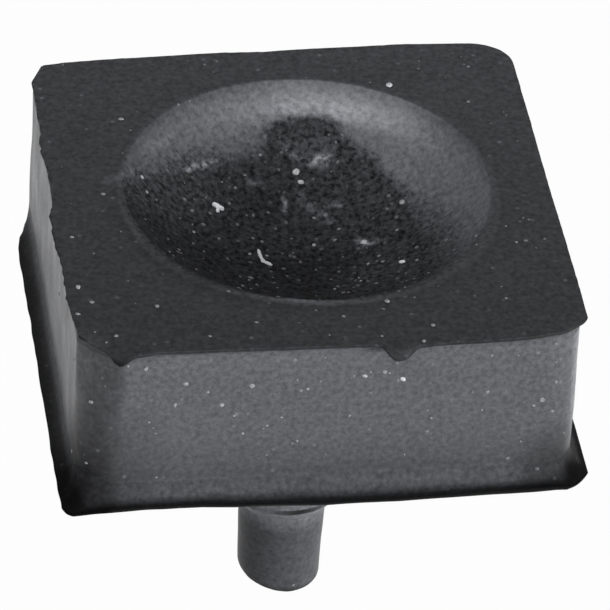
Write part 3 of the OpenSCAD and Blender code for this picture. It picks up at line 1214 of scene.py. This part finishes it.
def drop_grain(start, direction, sizes, shades):
    """Leaves a grain where a ray meets the skin."""
    spot, normal, _, _ = tree_of_skin.ray_cast(start, direction)
    if spot:
        add_grain(spot, normal, GRAIN_R * chance.uniform(*sizes), chance.uniform(*shades))


for _ in range(PATCH_GRAINS):
    angle = chance.uniform(0, math.tau)
    reach = DISH_R * 0.95 * math.sqrt(chance.random())
    start = Vector((DISH_X + reach * math.cos(angle), DISH_Y + reach * math.sin(angle), START))
    if patch_share(start.x / MM, start.y / MM, 0) >= 0.9:
        drop_grain(start, DOWN, (0.6, 1.3), (0.05, 0.2))
for _ in range(TOP_GRAINS):
    x, y = chance.uniform(-TOP_HALF, TOP_HALF) * MM, chance.uniform(-TOP_HALF, TOP_HALF) * MM
    drop_grain(Vector((x, y, START)), DOWN, (0.4, 0.9), (0.07, 0.25))
for _ in range(WALL_GRAINS):
    angle = chance.uniform(-0.7, 0.7) * math.pi
    cos, sin = math.cos(angle), math.sin(angle)
    start = Vector((cos * START, sin * START, chance.uniform(1, 10.3) * MM))
    aside = Vector((-sin, cos, 0)) * chance.uniform(-WALL_HALF, WALL_HALF) * MM
    drop_grain(start + aside, Vector((-cos, -sin, 0)), (0.4, 1.0), (0.12, 0.35))
grains_mesh = bpy.data.meshes.new("dust_grains")
grains.to_mesh(grains_mesh)
print(len(grains.verts) // 42, "grains")
grains.free()
dust = bpy.data.objects.new("dust_grains", grains_mesh)
bpy.context.scene.collection.objects.link(dust)

# %% [markdown]
# ## Lint fibres
# Two curls of pale lint, one with a short tail, lie in the dish. A fibre could be a curve with a
# bevel, but a tube made ring by ring can get thinner and thicker along its way, as lint does. Its
# path runs less than its own radius above the skin, so that it lies on the rubber. A fibre is
# given by its radius in millimetres, its shade, and its line in the camera's view.

# %% Lint fibres
FIBRES_PX = [
    (0.16, 0.95, [(212, 204), (216, 206), (220, 208), (225, 212)]),
    (0.12, 0.85, [(218, 208), (217, 211), (220, 213)]),
    (0.13, 0.80, [(258, 250), (260, 256), (263, 262), (268, 264), (274, 267)]),
]
FIBRE_STEPS = (0.0, 0.34, 0.67)
FIBRE_LIFT = 0.3
FIBRE_TIP = 0.45


def tube(path, radius, sides=7):
    """A closed tube along a path, thin at both ends."""
    verts, quads = [], []
    for i, p in enumerate(path):
        ahead = (path[min(i + 1, len(path) - 1)] - path[max(i - 1, 0)]).normalized()
        turn = ahead.to_track_quat("Z", "Y")
        here = radius * (FIBRE_TIP if i in (0, len(path) - 1) else chance.uniform(0.7, 1.15))
        for k in range(sides):
            a = math.tau * k / sides
            verts.append(p + turn @ Vector((math.cos(a) * here, math.sin(a) * here, 0)))
    for i in range(len(path) - 1):
        for k in range(sides):
            a, b = i * sides + k, i * sides + (k + 1) % sides
            quads.append((a, b, b + sides, a + sides))
    quads.append(tuple(reversed(range(sides))))
    quads.append(tuple(range(len(verts) - sides, len(verts))))
    return verts, quads


lint_verts, lint_faces, lint_shade = [], [], []
for radius, pale, trail in FIBRES_PX:
    path = []
    for spot, normal in along_trail(trail, FIBRE_STEPS):
        path.append(spot + normal * radius * FIBRE_LIFT * MM)
    verts, quads = tube(path, radius * MM)
    lint_shade += [pale] * len(verts)
    lint_faces += [tuple(v + len(lint_verts) for v in q) for q in quads]
    lint_verts += verts
lint_mesh = bpy.data.meshes.new("lint_fibres")
lint_mesh.from_pydata([v[:] for v in lint_verts], [], lint_faces)
lint_pale = lint_mesh.attributes.new("pale", "FLOAT", "POINT")
lint_pale.data.foreach_set("value", lint_shade)
lint = bpy.data.objects.new("lint_fibres", lint_mesh)
bpy.context.scene.collection.objects.link(lint)
print(len(FIBRES_PX), "fibres,", len(lint_faces), "faces")

# %% [markdown]
# ## Dry dust
# Dust and lint are dry and pale, with small stains. Like the skin, each grain and fibre carries
# its own shade as an attribute, so that one material serves them all and no two look alike.

# %% Dust material
DUST_TINT = (0.98, 0.99, 1.03, 1)


def pale_dust():
    """Dry dust: each grain has its own shade, with small stains."""
    material, tree, shader = new_material("pale_dust")
    shader.inputs["Roughness"].default_value = 0.55
    place = node(tree, "ShaderNodeTexCoord", (-1100, 0)).outputs["Object"]
    vary = node(tree, "ShaderNodeTexNoise", (-900, 0),
                {"Vector": place, "Scale": 6000.0, "Detail": 2.0}).outputs["Fac"]
    stain = rescale(tree, (-700, 0), vary, from_min=0.3, from_max=0.7, to_min=0.7, to_max=1.2)
    shade = product(tree, (-500, 100), carried(tree, (-900, 200), "pale"), stain)
    tree.links.new(tinted(tree, (-300, 100), shade, DUST_TINT), shader.inputs["Base Color"])
    return material


dust_material = pale_dust()
for piece in (dust, lint):
    piece.data.shade_smooth()
    piece.data.materials.append(dust_material)
    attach(piece, "root")
    print(piece.name, "rides on the buffer")

# %% [markdown]
# ## Lamps
# Four soft lamps light the block. The key, low on the right, lights the front wall. A long strip
# high on the left puts the pale crescent into the dish. A broad lamp behind and above gives the
# top its faint sheen, and a thin one low behind shows up the back edges. They are area lamps,
# because small hard lamps would give black rubber sharp white spots.

# %% Lamps
def area_lamp(name, azimuth, elevation, distance, size, power):
    """A soft lamp, size[0] wide and size[1] high, that looks at the block."""
    data = bpy.data.lights.new(name, "AREA")
    data.shape = "RECTANGLE"
    data.size, data.size_y = size
    data.energy = power
    lamp = bpy.data.objects.new(name, data)
    place = towards(azimuth, elevation)
    lamp.matrix_world = Matrix.Translation(place * distance) @ facing_block(place)
    bpy.context.scene.collection.objects.link(lamp)
    print(name, "lamp:", power, "W from", round(distance, 2), "m")


area_lamp("key", azimuth=46, elevation=10, distance=1.0, size=(0.30, 0.22), power=6.5)
area_lamp("strip", azimuth=-30, elevation=54, distance=0.9, size=(1.5, 0.12), power=3.6)
area_lamp("back", azimuth=175, elevation=50, distance=1.0, size=(0.6, 0.25), power=1.0)
area_lamp("low_back", azimuth=170, elevation=-3, distance=0.8, size=(0.9, 0.03), power=2.6)

# %% [markdown]
# ## Paper sweep
# The buffer is held above a round sweep of white paper, which curves up at its edge, so that no
# horizon shows and pale light comes back from below. It is a turned section: a few circles joined
# by four-sided faces, with a fan in the middle.

# %% Paper sweep
FLOOR_Z = -60 * MM
SWEEP_TURNS = 64
SWEEP_R = 1.6
SWEEP_CURVE = 0.2

sweep_section = [(0.05, 0), (0.4, 0), (SWEEP_R, 0)]
for angle in range(15, 91, 15):
    turn = math.radians(angle)
    rise = SWEEP_CURVE - SWEEP_CURVE * math.cos(turn)
    sweep_section.append((SWEEP_R + SWEEP_CURVE * math.sin(turn), rise))
sweep_verts, sweep_faces = [(0, 0, FLOOR_Z)], []
for reach, height in sweep_section:
    for k in range(SWEEP_TURNS):
        a = math.tau * k / SWEEP_TURNS
        sweep_verts.append((reach * math.cos(a), reach * math.sin(a), FLOOR_Z + height))
for k in range(SWEEP_TURNS):
    sweep_faces.append((0, 1 + k, 1 + (k + 1) % SWEEP_TURNS))
for level in range(len(sweep_section) - 1):
    for k in range(SWEEP_TURNS):
        a = 1 + level * SWEEP_TURNS + k
        b = 1 + level * SWEEP_TURNS + (k + 1) % SWEEP_TURNS
        sweep_faces.append((a, a + SWEEP_TURNS, b + SWEEP_TURNS, b))
sweep_mesh = bpy.data.meshes.new("paper_sweep")
sweep_mesh.from_pydata(sweep_verts, [], sweep_faces)
sweep_mesh.shade_smooth()
sweep = bpy.data.objects.new("paper_sweep", sweep_mesh)
bpy.context.scene.collection.objects.link(sweep)
sweep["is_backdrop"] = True
print("paper", round(2 * sweep_section[-1][0], 1), "m across")

# %% [markdown]
# ## White paper and the world
# To the camera, and in reflections, the paper is almost pure white, and to the light it is plain
# matt paper that still takes a shadow. A Light Path node tells the two apart, so no lamp has to
# be turned up to make the background white. The world adds a little even light from everywhere.

# %% Paper and world
PAPER_WHITE = (0.86, 0.86, 0.86, 1)
PAPER_GLOW = 0.96
WORLD_STRENGTH = 0.25

paper, tree, matt_paper = new_material("white_paper")
matt_paper.inputs["Base Color"].default_value = PAPER_WHITE
matt_paper.inputs["Roughness"].default_value = 0.9
matt_paper.inputs["Specular IOR Level"].default_value = 0.0
glow = node(tree, "ShaderNodeEmission", (0, -300), {"Strength": 1.0})
light_path = node(tree, "ShaderNodeLightPath", (-500, 300)).outputs
either = node(tree, "ShaderNodeMath", (-300, 300), {
    0: light_path["Is Camera Ray"], 1: light_path["Is Glossy Ray"],
}, operation="MAXIMUM")
any_of = node(tree, "ShaderNodeMath", (-150, 300), {
    0: either.outputs[0], 1: light_path["Is Transmission Ray"],
}, operation="MAXIMUM")
blend = node(tree, "ShaderNodeMixShader", (300, 0), {
    "Fac": product(tree, (0, 300), any_of.outputs[0], PAPER_GLOW),
    1: matt_paper.outputs[0],
    2: glow.outputs[0],
})
tree.links.new(blend.outputs[0], tree.nodes["Material Output"].inputs["Surface"])
sweep_mesh.materials.append(paper)

world = bpy.data.worlds.new("studio")
bpy.context.scene.world = world
world.use_nodes = True
world.node_tree.nodes["Background"].inputs["Color"].default_value = (1, 1, 1, 1)
world.node_tree.nodes["Background"].inputs["Strength"].default_value = WORLD_STRENGTH
bpy.context.scene.view_settings.view_transform = "Standard"
print("paper glow", PAPER_GLOW, "and world", WORLD_STRENGTH)

# %% [markdown]
# ## Sizes, and the end
# The box of the CAD solid was kept at the start, and the box of the finished scene is written
# beside it, so that the two can be compared.

# %% Write the sizes and finish
low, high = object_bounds()
print("scene box in mm:", in_mm(low), in_mm(high))
